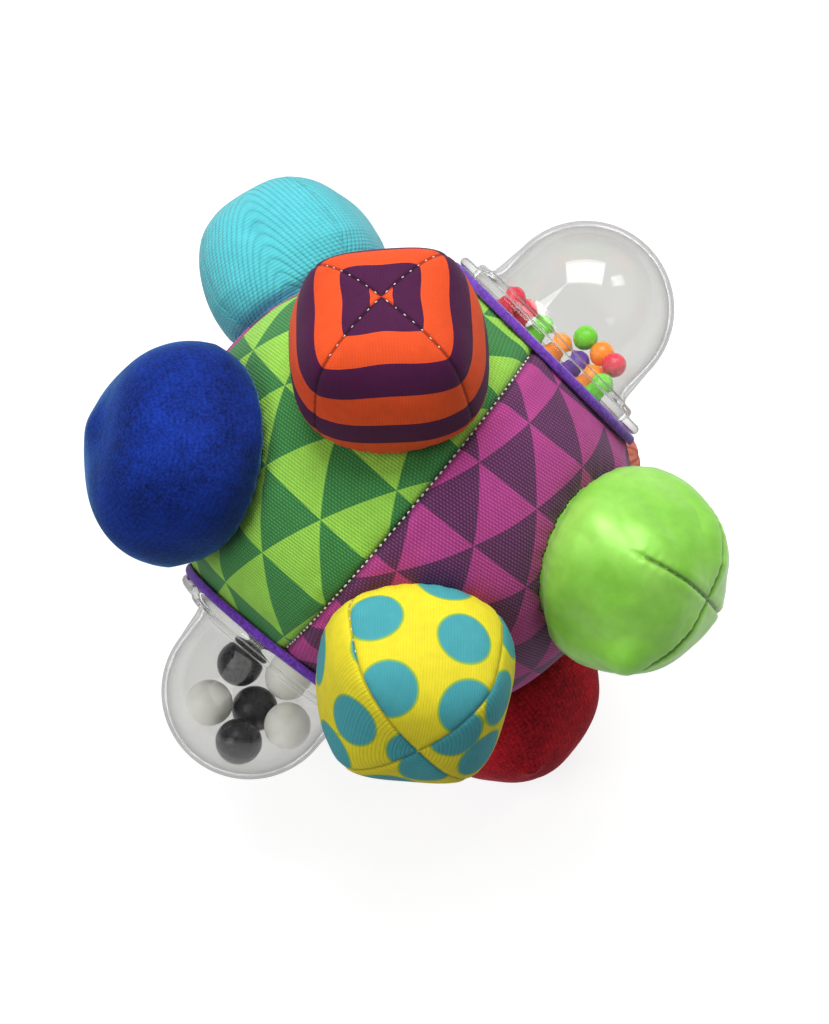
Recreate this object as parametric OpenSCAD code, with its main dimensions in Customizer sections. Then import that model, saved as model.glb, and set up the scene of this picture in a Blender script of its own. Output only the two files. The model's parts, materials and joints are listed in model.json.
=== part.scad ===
// Stuffed sensory ball: a sewn cover of four panels, eight stuffed bumps and two clear bead rattles.
// It stands on three of its bumps. The origin is the centre of the ball and +Z is up.
// Latitude runs from the ball's middle towards the upper rattle, and longitude starts at the lowest bump.

/* [Ball] */
// Radius of the sewn ball
ball_r = 50; // [48:0.5:54]
// Thickness of the cover panels
panel_t = 1.6; // [1:0.1:2]
// Gap between sewn, stuffed or rounded pieces that lie against each other
soft_gap = 0.3; // [0.2:0.05:0.4]
// Gap between two panels along their seam
seam_gap = 0.2; // [0.1:0.05:0.4]

/* [Bumps] */
// Latitude of the two rings of four bumps, in degrees
ring_lat = 23; // [21:0.5:25]
// Radius of a bump across its panels, where it is widest
bump_r = 20.4; // [19:0.2:22]
// Radius of the neck where a bump is sewn in
neck_r = 16.5; // [15:0.1:16.6]
// Radius of a bump just outside its neck
shoulder_r = 19; // [17.5:0.1:20]
// Height of that shoulder above the neck seam
shoulder_h = 1.2; // [0.8:0.1:2]
// Height of the widest place above the ball
wide_h = 5; // [4:0.5:8]
// Height of a bump's tip above the ball
bump_h = 28; // [24:0.5:31]
// Radius that the four seams of a bump add at its corners
bump_corner = 2; // [0:0.2:3]
// Thickness of a bump's cover
pouch_t = 1.4; // [1:0.1:1.8]
// Gap round the stuffing inside a bump
fill_gap = 0.5; // [0.4:0.05:0.8]
// Depth of the flat where a bump stands on the floor
flat_depth = 0.5; // [0.3:0.1:0.8]

/* [Bump leans] */
// Orange bump: latitude and longitude off its regular place and turn of its seams, in degrees
orange_lean = [0, -8, 0]; // [-90:1:90]
// Cyan bump: the same
cyan_lean = [-1.5, 0, 0]; // [-90:0.5:90]
// Striped bump: the same
striped_lean = [0, -6, 49]; // [-90:1:90]
// Satin bump: the same
satin_lean = [-4, -14, 41]; // [-90:1:90]
// Plum bump: the same
plum_lean = [0, 0, 29]; // [-90:1:90]
// Blue velour bump: the same
blue_lean = [-0.5, 9, 53]; // [-90:0.5:90]
// Dotted bump: the same
dotted_lean = [-4, 3, 38]; // [-90:1:90]
// Red bump: the same
red_lean = [0, 0, 61]; // [-90:1:90]
// Radius that the blue bump has more than the others
blue_extra_r = 1.8; // [0:0.1:2.5]
// Height that the blue bump lacks
blue_less_h = 3; // [0:0.5:4]

/* [Rattles] */
// Upper rattle's axis: latitude and longitude, in degrees
upper_at = [85, -79]; // [-180:1:180]
// Lower rattle's axis: latitude and longitude, in degrees
lower_at = [-87, -126]; // [-180:1:180]
// Outer radius of a clear dome
dome_r = 19.6; // [19:0.1:20.4]
// Radius of the dome where it leaves its rim
dome_foot_r = 20.3; // [19.6:0.1:21]
// Wall of the dome
dome_t = 1.6; // [1.2:0.1:2]
// Height of the dome's straight part above the rim's underside
dome_straight = 12.3; // [11.6:0.1:14]
// Distance of the rim's underside below the top of the ball
rim_drop = 5.8; // [5.4:0.1:6]
// Radius of the rounded lip
lip_r = 26.5; // [25.6:0.1:27.4]
// Thickness of the lip
lip_t = 2.2; // [1.8:0.1:2.8]
// Radius of the step above the lip
step_r = 23.4; // [22.6:0.1:24.4]
// Height of the step above the lip
step_h = 1.5; // [1:0.1:2]
// Radius of the base plate that closes the dome
plate_r = 24.2; // [23.6:0.1:24.6]
// Thickness of the base plate
plate_t = 1.6; // [1.2:0.1:1.7]
// Radius of the spigot behind the base plate
spigot_r = 22.7; // [22.4:0.1:22.8]
// Wall of the spigot
spigot_t = 2; // [1.4:0.1:3]
// Play of the panels' edge round the base plate
edge_play = 1; // [0.8:0.1:1.3]
// Radius of the felt collar
collar_r = 28.2; // [27.4:0.1:29]
// Radius of the clamp ring inside the cover
clamp_r = 27; // [26.4:0.1:27.4]
// Thickness of the clamp ring
clamp_t = 2; // [1.4:0.1:2.4]

/* [Beads] */
// Diameter of a small bead
small_d = 5.6; // [5:0.1:5.8]
// Diameter of a large bead
large_d = 10.6; // [9.6:0.1:10.8]
// Gap round a bead
bead_gap = 0.3; // [0.2:0.05:0.4]
// Direction of the first large bead from the lowest one, seen from above, in degrees
large_turn = 134; // [0:1:180]

/* [Hidden] */
$fn = 96;
upper_ring = 1;
lower_ring = -1;
places_in_ring = 4;
ring_step = 360 / places_in_ring;
half_step = ring_step / 2;

// Tilt of the rattles' common axis when the lowest bump and its two neighbours stand on the floor
rest_tilt = atan((1 - cos(half_step)) / (2 * tan(ring_lat)));

// Bumps: name, ring, place in the ring, lean and turn, added radius, added height, whether it stands on the floor
bumps = [
    ["orange", upper_ring, 0, orange_lean, 0, 0, true],
    ["cyan", upper_ring, 1, cyan_lean, 0, 0, false],
    ["striped", upper_ring, 2, striped_lean, 0, 0, false],
    ["satin", upper_ring, 3, satin_lean, 0, 0, false],
    ["plum", lower_ring, 0, plum_lean, 0, 0, true],
    ["blue", lower_ring, 1, blue_lean, blue_extra_r, -blue_less_h, false],
    ["dotted", lower_ring, 2, dotted_lean, 0, 0, false],
    ["red", lower_ring, 3, red_lean, 0, 0, true]
];
bump_colours = ["#f06a32", "#3fbfd2", "#e8562c", "#86cf4e", "#7a3a78", "#1f4fb4", "#f4e13a", "#8e1c2a"];

function ring_of(bump) = bump[1];
function lean_of(bump) = bump[3];
function stands(bump) = bump[6];
function lat_of(bump) = ring_of(bump) * ring_lat + lean_of(bump)[0];
function lon_of(bump) =
    bump[2] * ring_step + (ring_of(bump) == upper_ring ? 0 : half_step) + lean_of(bump)[1];
function place_of(bump) = [lat_of(bump), lon_of(bump), lean_of(bump)[2]];
function named(name) = bumps[search([name], bumps)[0]];

// Turning points and pieces from the local frame, +Z outwards, to their place on the ball
function spin_y(p, a) = [p.x * cos(a) + p.z * sin(a), p.y, p.z * cos(a) - p.x * sin(a)];
function spin_z(p, a) = [p.x * cos(a) - p.y * sin(a), p.x * sin(a) + p.y * cos(a), p.z];
function turn_of(place) = is_undef(place[2]) ? 0 : place[2];
function on_ball(p, place) =
    spin_y(spin_z(spin_y(spin_z(p, turn_of(place)), 90 - place[0]), place[1]), 90 - rest_tilt);
function off_ball(p, place) =
    spin_z(spin_y(spin_z(spin_y(p, rest_tilt - 90), -place[1]), place[0] - 90), -turn_of(place));
function sphere_height(sphere_r, r) = sqrt(sphere_r * sphere_r - r * r);

module on_ball(place) {
    rotate([0, 90 - rest_tilt, 0])
        rotate([0, 90 - place[0], place[1]])
            rotate([0, 0, turn_of(place)])
                children();
}

// Shape of a bump: [radius, height from the ball's centre] of its rings, from the neck to the tip
core_r = ball_r - panel_t - soft_gap;
neck_low = sphere_height(core_r, neck_r - pouch_t) + soft_gap;
neck_top = sphere_height(ball_r, neck_r) + soft_gap;
shoulder_at = neck_top + shoulder_h;
wide_at = ball_r + wide_h;
// Powers that make the crown fuller than an ellipse, and the angles of its rings
crown_flat = 0.72;
crown_lift = 0.95;
bump_sides = 32;
outer_crown = [0, 18, 36, 54, 72];
inner_crown = [0, 36, 66];

function crown_ring(r, tip, a) =
    [r * pow(cos(a), crown_flat), wide_at + (tip - wide_at) * pow(sin(a), crown_lift)];
function radius_of(bump) = bump_r + bump[4];
function tip_of(bump) = ball_r + bump_h + bump[5];
function outer_rings(bump) = concat(
    [[neck_r, neck_low], [neck_r, neck_top], [shoulder_r, shoulder_at]],
    [for (a = outer_crown) crown_ring(radius_of(bump), tip_of(bump), a)]
);
function inner_rings(bump, inset) = concat(
    [
        [neck_r - inset, neck_low],
        [neck_r - inset, neck_top + inset / 2],
        [shoulder_r - inset, shoulder_at + inset]
    ],
    [for (a = inner_crown) crown_ring(radius_of(bump) - inset, tip_of(bump) - inset, a)]
);
// The seams square the bump more and more from the neck to its widest place
function squareness(h) = max(0, min(1, (h - neck_top) / (wide_at - neck_top))) * bump_corner / bump_r;
function ring_point(ring, a) =
    let (r = ring[0] * (1 + squareness(ring[1]) * (1 - cos(4 * a)) / 2))
    [r * cos(a), r * sin(a), ring[1]];
function ring_points(rings) =
    [for (ring = rings) for (i = [0 : bump_sides - 1]) ring_point(ring, i * 360 / bump_sides)];

// Triangles between ring i and ring j of a stack, the first seen from outside when j is the higher
function band(i, j) = [
    for (k = [0 : bump_sides - 1])
        let (a = i * bump_sides + k)
        let (b = i * bump_sides + (k + 1) % bump_sides)
        let (c = j * bump_sides + k)
        let (d = j * bump_sides + (k + 1) % bump_sides)
        each [[a, c, b], [b, c, d]]
];
function cap(i, tip) = [
    for (k = [0 : bump_sides - 1])
        [i * bump_sides + k, tip, i * bump_sides + (k + 1) % bump_sides]
];
function flipped(faces) = [for (f = faces) [f[0], f[2], f[1]]];

// The floor lies flat_depth above the lowest point of the bump that reaches down least
function lowest(bump) = min([for (p = ring_points(outer_rings(bump))) on_ball(p, place_of(bump)).z]);
floor_z = max([for (bump = bumps) if (stands(bump)) lowest(bump)]) + flat_depth;

module bump_cover(bump) {
    outer = outer_rings(bump);
    inner = inner_rings(bump, pouch_t);
    outer_n = len(outer);
    inner_n = len(inner);
    points = concat(
        ring_points(concat(outer, inner)),
        [[0, 0, tip_of(bump)], [0, 0, tip_of(bump) - pouch_t]]
    );
    outer_tip = len(points) - 2;
    inner_tip = len(points) - 1;
    faces = concat(
        [for (i = [0 : outer_n - 2]) each band(i, i + 1)],
        cap(outer_n - 1, outer_tip),
        [for (i = [outer_n : outer_n + inner_n - 2]) each flipped(band(i, i + 1))],
        flipped(cap(outer_n + inner_n - 1, inner_tip)),
        flipped(band(0, outer_n))
    );
    floor_w = 4 * ball_r;
    color(bump_colours[search([bump[0]], bumps)[0]])
        difference() {
            on_ball(place_of(bump)) polyhedron(points, faces);
            if (stands(bump))
                translate([-floor_w / 2, -floor_w / 2, floor_z - floor_w])
                    cube(floor_w);
        }
}

module bump_fill(bump) {
    rings = inner_rings(bump, pouch_t + fill_gap);
    color("#f2efe6")
        on_ball(place_of(bump))
            difference() {
                rotate_extrude()
                    polygon(concat([[0, neck_low]], rings, [[0, tip_of(bump) - pouch_t - fill_gap]]));
                sphere(core_r + soft_gap);
            }
}

// Rattles: heights along their axis from the ball's centre
rim_at = ball_r - rim_drop;
dome_at = rim_at + dome_straight;
chamber_r = dome_r - dome_t;
foot_bore_r = min(chamber_r, dome_foot_r - dome_t);
panel_hole_r = max(plate_r, spigot_r) + edge_play;
clamp_under_r = core_r - clamp_t;
core_flat_at = sphere_height(clamp_under_r, clamp_r) - soft_gap;

module at_height(h) {
    translate([0, 0, h])
        children();
}

module hemisphere(r) {
    intersection() {
        sphere(r);
        cylinder(h = 2 * r, r = 2 * r);
    }
}

module rim_ring(r, t, low) {
    edge = t / 2;
    at_height(low)
        cylinder(h = t, r = r - edge);
    at_height(low + edge)
        rotate_extrude()
            translate([r - edge, 0])
                circle(edge);
}

module rattle_dome(place) {
    color([0.85, 0.88, 0.88, 0.35])
        on_ball(place)
            difference() {
                union() {
                    at_height(dome_at) hemisphere(dome_r);
                    at_height(rim_at) cylinder(h = dome_straight, r1 = dome_foot_r, r2 = dome_r);
                    rim_ring(lip_r, lip_t, rim_at);
                    at_height(rim_at) cylinder(h = lip_t + step_h, r = step_r);
                }
                at_height(dome_at) hemisphere(chamber_r);
                at_height(rim_at - lip_t) cylinder(h = 2 * lip_t, r = foot_bore_r);
                at_height(rim_at) cylinder(h = dome_straight, r1 = foot_bore_r, r2 = chamber_r);
            }
}

module rattle_base(place) {
    spigot_h = rim_at - core_flat_at - soft_gap;
    color([0.8, 0.82, 0.84, 0.5])
        on_ball(place)
            difference() {
                union() {
                    at_height(rim_at - plate_t) cylinder(h = plate_t, r = plate_r);
                    at_height(rim_at - spigot_h) cylinder(h = spigot_h, r = spigot_r);
                }
                at_height(rim_at - spigot_h - plate_t) cylinder(h = spigot_h, r = spigot_r - spigot_t);
            }
}

// The collar is a thin wedge over the ball, so its circles are finer than the rest
module collar(place, $fn = 4 * $fn) {
    color("#6430a0")
        on_ball(place)
            difference() {
                at_height(core_flat_at) cylinder(h = rim_at - core_flat_at, r = collar_r);
                cylinder(h = ball_r, r = panel_hole_r);
                sphere(ball_r + soft_gap);
            }
}

module clamp_ring(place) {
    color("#e8e6e0")
        on_ball(place)
            difference() {
                intersection() {
                    sphere(core_r);
                    cylinder(h = ball_r, r = clamp_r);
                }
                sphere(clamp_under_r);
                cylinder(h = ball_r, r = spigot_r + soft_gap);
                at_height(rim_at - plate_t - soft_gap) cylinder(h = ball_r, r = panel_hole_r);
            }
}

module ball_stuffing() {
    color("#f2efe6")
        difference() {
            sphere(core_r);
            for (place = [upper_at, lower_at])
                on_ball(place)
                    at_height(core_flat_at)
                        cylinder(h = ball_r, r = ball_r);
        }
}

// Panels: name, the bumps before and after its first seam, those before and after its last seam, colour.
// The second and third of these bumps are sewn into the panel.
panels = [
    ["magenta_panel_back", "orange", "plum", "cyan", "blue", "#b04088"],
    ["green_panel_front", "cyan", "blue", "striped", "dotted", "#6fb04a"],
    ["magenta_panel_front", "striped", "dotted", "satin", "red", "#b04088"],
    ["green_panel_back", "satin", "red", "orange", "plum", "#6fb04a"]
];
seam_trim = seam_gap / 2 / ball_r * 180 / PI;

function seam_lon(before, after) =
    let (a = lon_of(named(before)), b = lon_of(named(after)))
    (a + (b < a ? b + 360 : b)) / 2;

module cover_panel(panel) {
    first = seam_lon(panel[1], panel[2]) + seam_trim;
    last_raw = seam_lon(panel[3], panel[4]) - seam_trim;
    last = last_raw < first ? last_raw + 360 : last_raw;
    color(panel[5])
        difference() {
            rotate([0, 90 - rest_tilt, 0])
                rotate([0, 0, last])
                    rotate_extrude(angle = first - last)
                        difference() {
                            circle(ball_r);
                            circle(ball_r - panel_t);
                            translate([-2 * ball_r, -ball_r]) square(2 * ball_r);
                        }
            for (name = [panel[2], panel[3]])
                on_ball(place_of(named(name)))
                    cylinder(h = 2 * ball_r, r = neck_r + soft_gap);
            for (place = [upper_at, lower_at])
                on_ball(place)
                    cylinder(h = 2 * ball_r, r = panel_hole_r);
        }
}

// Small beads lie in the groove between the dome and its base plate, a few of them on the others.
// Their places are steps along the groove and the layer, and the pile's middle is its lowest place.
small_beads = [
    ["red_bead_1", -3, 0, "#d8364a"],
    ["red_bead_2", -2, 0, "#d8364a"],
    ["green_bead_1", -1, 0, "#5fc038"],
    ["orange_bead_1", 0, 0, "#f08a28"],
    ["purple_bead", 1, 0, "#5a3a90"],
    ["orange_bead_2", 2, 0, "#f08a28"],
    ["green_bead_2", 3, 0, "#5fc038"],
    ["green_bead_3", 0.5, 1, "#5fc038"],
    ["orange_bead_3", 1.5, 1, "#f08a28"],
    ["red_bead_3", 2.5, 1, "#d8364a"]
];
small_orbit = foot_bore_r - small_d / 2 - bead_gap;
small_pitch = small_d + bead_gap;
small_step = 2 * asin(small_pitch / 2 / small_orbit);
quarter_chord = 2 * small_orbit * sin(small_step / 4);
layer_h = sqrt(small_pitch * small_pitch - quarter_chord * quarter_chord);
pile_lean = atan2(
    [for (bead = small_beads) sin(bead[1] * small_step)] * [for (bead = small_beads) 1],
    [for (bead = small_beads) cos(bead[1] * small_step)] * [for (bead = small_beads) 1]
);

module small_bead(bead) {
    down = off_ball([0, 0, -1], upper_at);
    a = atan2(down.y, down.x) - bead[1] * small_step + pile_lean;
    color(bead[3])
        on_ball(upper_at)
            rotate([0, 0, a])
                translate([small_orbit, 0, rim_at + small_d / 2 + bead_gap + bead[2] * layer_h])
                    sphere(d = small_d);
}

// Large beads lie in the bottom of the lower dome, one lowest and five round it
large_beads = [
    ["black_bead_1", "#2a292f"],
    ["white_bead_1", "#e6e3d8"],
    ["black_bead_2", "#2a292f"],
    ["white_bead_2", "#e6e3d8"],
    ["white_bead_3", "#e6e3d8"],
    ["black_bead_3", "#2a292f"]
];
large_reach = chamber_r - large_d / 2 - bead_gap;
large_pitch = large_d + bead_gap;
large_round = len(large_beads) - 1;
// Tilts at which the beads round it clear the lowest bead and each other
clear_of_lowest = 2 * asin(large_pitch / 2 / large_reach);
clear_of_next = asin(large_pitch / 2 / sin(180 / large_round) / large_reach);
large_tilt = max(clear_of_lowest, clear_of_next);

module large_bead(i) {
    tilt = i == 0 ? 0 : large_tilt;
    a = large_turn - (i - 1) * 360 / large_round;
    color(large_beads[i][1])
        translate(on_ball([0, 0, dome_at], lower_at))
            rotate([0, 180 - tilt, a])
                translate([0, 0, large_reach])
                    sphere(d = large_d);
}

ball_stuffing();
for (panel = panels)
    cover_panel(panel);
for (bump = bumps)
    bump_cover(bump);
for (bump = bumps)
    bump_fill(bump);
rattle_dome(upper_at);  // upper_rattle_dome
rattle_base(upper_at);  // upper_rattle_base
collar(upper_at);  // upper_collar
clamp_ring(upper_at);  // upper_clamp_ring
rattle_dome(lower_at);  // lower_rattle_dome
rattle_base(lower_at);  // lower_rattle_base
collar(lower_at);  // lower_collar
clamp_ring(lower_at);  // lower_clamp_ring
for (bead = small_beads)
    small_bead(bead);
for (i = [0 : len(large_beads) - 1])
    large_bead(i);
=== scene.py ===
import json
from math import asin, cos, pi, radians, sin, sqrt
import bpy
import numpy as np
from mathutils import Matrix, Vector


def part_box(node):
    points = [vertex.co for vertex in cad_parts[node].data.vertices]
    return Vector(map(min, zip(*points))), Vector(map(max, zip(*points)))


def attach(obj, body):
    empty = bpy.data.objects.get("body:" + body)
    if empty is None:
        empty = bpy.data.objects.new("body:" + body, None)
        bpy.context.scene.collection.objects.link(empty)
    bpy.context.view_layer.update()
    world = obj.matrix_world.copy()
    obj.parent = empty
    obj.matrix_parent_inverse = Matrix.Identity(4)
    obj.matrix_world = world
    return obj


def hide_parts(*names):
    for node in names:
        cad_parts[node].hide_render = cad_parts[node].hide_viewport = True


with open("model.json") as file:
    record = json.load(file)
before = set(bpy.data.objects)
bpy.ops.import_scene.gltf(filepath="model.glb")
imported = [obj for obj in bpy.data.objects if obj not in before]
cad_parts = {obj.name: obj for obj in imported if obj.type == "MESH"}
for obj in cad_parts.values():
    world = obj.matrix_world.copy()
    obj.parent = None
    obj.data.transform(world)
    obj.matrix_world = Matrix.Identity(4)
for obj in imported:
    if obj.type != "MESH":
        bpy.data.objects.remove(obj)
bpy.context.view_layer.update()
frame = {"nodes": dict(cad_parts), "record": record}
print("frame loaded,", len(frame["nodes"]), "nodes")

# Lengths are in millimetres and angles in degrees, as in the part's own drawing
mm = 0.001
scene = bpy.context.scene
scene.view_settings.view_transform = "Standard"

ball = {
    "radius": 50.0,
    "tilt": 19.0348,       # slope of the rattles' common axis
    "floor": -63.409,      # height of the floor under the standing bumps
    "cloth": 1.4,          # thickness of the canvas
    "neck": 16.5,          # radius of a bump's neck
    "neckHole": 16.2,      # radius of the canvas's opening under a bump
    "rattleHole": 24.8,
    "stuffing": 46.9,
    "stuffingFlat": 36.6,  # where the stuffing stops under a rattle
    "fill": 0.8,
}
ballR = ball["radius"]


def spinY(angle):
    c, s = cos(radians(angle)), sin(radians(angle))
    return np.array([[c, 0, s], [0, 1, 0], [-s, 0, c]])


def spinZ(angle):
    c, s = cos(radians(angle)), sin(radians(angle))
    return np.array([[c, -s, 0], [s, c, 0], [0, 0, 1]])


ballTurn = spinY(90 - ball["tilt"])


# Turns the z axis to where a bump or rattle is
def placeTurn(item):
    lat, lon, turn = item["at"]
    return ballTurn @ spinZ(lon) @ spinY(90 - lat) @ spinZ(turn)


def axisOf(item):
    return placeTurn(item)[:, 2]


def smooth(low, high, value):
    t = np.clip((value - low) / (high - low), 0, 1)
    return t * t * (3 - 2 * t)


def bell(distance, width):
    return np.exp(-(distance / width) ** 2)


def lengths(vectors):
    return np.linalg.norm(vectors, axis=-1, keepdims=True)


def unit(vectors):
    return vectors / np.maximum(lengths(vectors), 1e-9)


def fullTurn(count):
    return np.arange(count) * 2 * pi / count


# Crossing waves give the soft unevenness of stuffed cloth, the same on every run
def softNoise(points, length, seed):
    rng = np.random.default_rng(seed)
    total = np.zeros(points.shape[:-1])
    for _ in range(7):
        way = rng.normal(size=3)
        way = way / np.linalg.norm(way)
        wave = 2 * pi / (length * rng.uniform(0.7, 1.5))
        total += np.sin(points @ way * wave + rng.uniform(0, 2 * pi))
    return total / 3.0


def roundCorners(path, times=3):
    path = np.array(path, float)
    for _ in range(times):
        behind = path[:-1] * 0.75 + path[1:] * 0.25
        ahead = path[:-1] * 0.25 + path[1:] * 0.75
        middle = np.stack([behind, ahead], 1).reshape(-1, 2)
        path = np.vstack([path[:1], middle, path[-1:]])
    return path


# Points round the z axis, from their radius, angle in radians and height
def ringPoints(r, angle, z):
    return np.stack(np.broadcast_arrays(r * np.cos(angle), r * np.sin(angle), z), -1)


def turnCloth(x, y, angle):
    c, s = cos(radians(angle)), sin(radians(angle))
    return np.stack([c * x + s * y, c * y - s * x], -1)


# Four-sided faces of a grid of points, from the row and column of each corner
def quadFaces(columns, *corners):
    return np.stack([row * columns + column for row, column in corners], -1).reshape(-1, 4)


def addItem(name, data):
    item = bpy.data.objects.new(name, data)
    scene.collection.objects.link(item)
    return item


def meshPiece(name, points, faces, slotName, uvs=None, marks=None):
    mesh = bpy.data.meshes.new(name)
    mesh.from_pydata((np.asarray(points) * mm).tolist(), [], faces)
    if uvs is not None:
        layer = mesh.uv_layers.new(name="cloth")
        layer.data.foreach_set("uv", np.asarray(uvs, np.float32).ravel())
    for label, values in (marks or {}).items():
        mark = mesh.attributes.new(label, "FLOAT", "POINT")
        mark.data.foreach_set("value", np.asarray(values, np.float32).ravel())
    mesh.polygons.foreach_set("use_smooth", [True] * len(mesh.polygons))
    mesh.update()
    mesh.materials.append(finish[slotName])
    return addItem(name, mesh)


# Replaces a piece's mesh by what its modifiers make of it
def settle(piece):
    graph = bpy.context.evaluated_depsgraph_get()
    made = bpy.data.meshes.new_from_object(piece.evaluated_get(graph), depsgraph=graph)
    piece.modifiers.clear()
    piece.data = made


def install(piece, nodes=(), body="ball"):
    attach(piece, body)
    if nodes:
        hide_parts(*nodes)


# Shader helpers

def paint(r, g, b):
    parts = [c / 255 for c in (r, g, b)]
    line = [c / 12.92 if c <= 0.04045 else ((c + 0.055) / 1.055) ** 2.4 for c in parts]
    return (*line, 1.0)


# Sets a node's inputs to values, or links them to other nodes' outputs
def feed(node, inputs):
    for key, value in inputs.items():
        if isinstance(value, bpy.types.NodeSocket):
            node.id_data.links.new(value, node.inputs[key])
        else:
            node.inputs[key].default_value = value
    return node.outputs


def setInputs(node, **values):
    feed(node, {label.replace("_", " "): value for label, value in values.items()})


def addNode(tree, kind, inputs, **settings):
    node = tree.nodes.new(kind)
    for key, value in settings.items():
        setattr(node, key, value)
    return feed(node, inputs)


# A shader node in the tree that its linked inputs come from
def join(kind, inputs, **settings):
    tree = next(v.id_data for v in inputs.values() if isinstance(v, bpy.types.NodeSocket))
    return addNode(tree, "ShaderNode" + kind, inputs, **settings)


def calc(how, a, b=0.0, c=0.0):
    return join("Math", {0: a, 1: b, 2: c}, operation=how)[0]


def split(vector):
    return join("SeparateXYZ", {0: vector})


# Sine that runs through one turn in each step
def wave(value, step, turn=2 * pi):
    return calc("SINE", calc("MULTIPLY", value, calc("DIVIDE", turn, step)))


def blendColour(factor, a, b, how="MIX"):
    return join("Mix", {0: factor, 6: a, 7: b}, data_type="RGBA", blend_type=how)[2]


def noise(vector, scale, detail=3.0, rough=0.55):
    return join("TexNoise", {"Vector": vector, "Scale": scale, "Detail": detail, "Roughness": rough})["Fac"]


def spread(value, low, high, toLow=0.0, toHigh=1.0):
    return join("MapRange", {0: value, 1: low, 2: high, 3: toLow, 4: toHigh})[0]


def mottled(place, scale, low, high, detail=3.0):
    return spread(noise(place, scale, detail), 0.3, 0.7, low, high)


def addSockets(tree, way, kind, *labels):
    for label in labels:
        tree.interface.new_socket(label, in_out=way, socket_type="NodeSocket" + kind)


# A group with one vector and some numbers going in, and numbers coming out
def newGroup(name, vector, numbers, results):
    tree = bpy.data.node_groups.new(name, "ShaderNodeTree")
    addSockets(tree, "INPUT", "Vector", vector)
    addSockets(tree, "INPUT", "Float", *numbers)
    addSockets(tree, "OUTPUT", "Float", *results)
    return tree, tree.nodes.new("NodeGroupInput").outputs, tree.nodes.new("NodeGroupOutput")


def useGroup(group, **inputs):
    return join("Group", inputs, node_tree=group)


# Canvas in twill: slanting lines of short pale threads, with painted shade and light along the weave
def twillGroup():
    tree, given, out = newGroup("twill", "Cloth", ["Pitch", "Slant"], ["Height", "Tint", "Fleck"])
    values = {"Vector": given["Cloth"], "Angle": given["Slant"]}
    xy = split(join("VectorRotate", values, rotation_type="Z_AXIS")[0])
    # every other line's threads are shifted along it
    along = calc("MULTIPLY_ADD", xy[1], 0.5, calc("MULTIPLY", xy[0], 0.8))
    height = calc("MULTIPLY_ADD", wave(along, given["Pitch"]), 0.5, wave(xy[1], given["Pitch"]))
    # painted shade and light: the tint follows the weave's height, darker in its low spots and lighter on
    # its high ones
    tint = spread(height, -1.5, 1.5, 0.76, 1.12)
    setInputs(out, Height=spread(height, -1.5, 1.5), Tint=tint, Fleck=spread(height, 0.5, 1.4))
    return tree


# Knit ribs along the cloth with small rows across them, with painted shade in the grooves between them
def ribGroup():
    tree, given, out = newGroup("ribKnit", "Cloth", ["Pitch", "Rows", "Groove"], ["Height", "Tint"])
    xy = split(given["Cloth"])
    rib = calc("POWER", calc("ABSOLUTE", wave(xy[0], given["Pitch"], pi)), 0.6)
    height = calc("MULTIPLY_ADD", wave(xy[1], given["Rows"]), 0.18, rib)
    # painted shade: the tint is darker in the grooves between the ribs
    dark = calc("SUBTRACT", 1.0, given["Groove"])
    setInputs(out, Height=height, Tint=calc("MULTIPLY_ADD", height, given["Groove"], dark))
    return tree


# Short pile that lies in patches, with single bright and dark hairs
def pileGroup():
    tree, given, out = newGroup("pile", "Place", ["Nap"], ["Height", "Tint"])
    hairs = noise(given["Place"], 1700.0, 3.0, 0.7)
    tufts = noise(given["Place"], 600.0, 3.0, 0.6)
    lay = noise(given["Place"], 95.0, 3.0, 0.5)
    height = calc("MULTIPLY_ADD", tufts, 0.35, hairs)
    speck = spread(height, 0.5, 0.85, 0.5, 1.5)
    patch = spread(lay, 0.32, 0.68, -0.5, 0.5)
    setInputs(out, Height=height, Tint=calc("MULTIPLY_ADD", patch, given["Nap"], speck))
    return tree


# Slight soiling and fading over a few centimetres, and painted shade along a seam
def wearAndSeamShadeGroup():
    tree, given, out = newGroup("wearAndSeamShade", "Place", ["Seam", "Width", "Shade"], ["Tint"])
    broad = mottled(given["Place"], 55.0, 0.93, 1.05, 4.0)
    fine = mottled(given["Place"], 420.0, 0.95, 1.04)
    # painted shade: the cloth is darker within a seam's width of it
    near = spread(calc("DIVIDE", given["Seam"], given["Width"]), 0.25, 1.0, 1.0, 0.0)
    shade = calc("SUBTRACT", 1.0, calc("MULTIPLY", near, given["Shade"]))
    setInputs(out, Tint=calc("MULTIPLY", calc("MULTIPLY", broad, fine), shade))
    return tree


twill = twillGroup()
ribKnit = ribGroup()
pile = pileGroup()
wearAndSeamShade = wearAndSeamShadeGroup()


# A material whose nodes are laid by one of the functions below
def newMaterial(name, look, *values):
    material = bpy.data.materials.new(name)
    material.use_nodes = True
    nodes = material.node_tree.nodes
    look(nodes["Principled BSDF"], nodes.new("ShaderNodeTexCoord").outputs["Object"], *values)
    return material


def clothMap(place):
    return addNode(place.id_data, "ShaderNodeUVMap", {}, uv_map="cloth")[0]


def markMap(place, label):
    return addNode(place.id_data, "ShaderNodeAttribute", {}, attribute_name=label)["Fac"]


def knitted(place, pitch, rows, groove):
    return useGroup(ribKnit, Cloth=clothMap(place), Pitch=pitch, Rows=rows, Groove=groove)


# soiling and fading, with painted shade along the seams
def wornAndSeamShaded(place, width, shade):
    seam = markMap(place, "seam")
    return useGroup(wearAndSeamShade, Place=place, Seam=seam, Width=width, Shade=shade)["Tint"]


def tinted(colour, *tints):
    for tint in tints:
        colour = blendColour(1.0, colour, tint, "MULTIPLY")
    return colour


def emboss(shader, height, depth, strength):
    values = {"Height": height, "Distance": depth * mm, "Strength": strength}
    setInputs(shader, Normal=join("Bump", values)[0])


canvas = {"pitch": 0.68, "slant": -6.0, "roughness": 0.82, "fleck": 0.22, "depth": 0.16}


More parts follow.
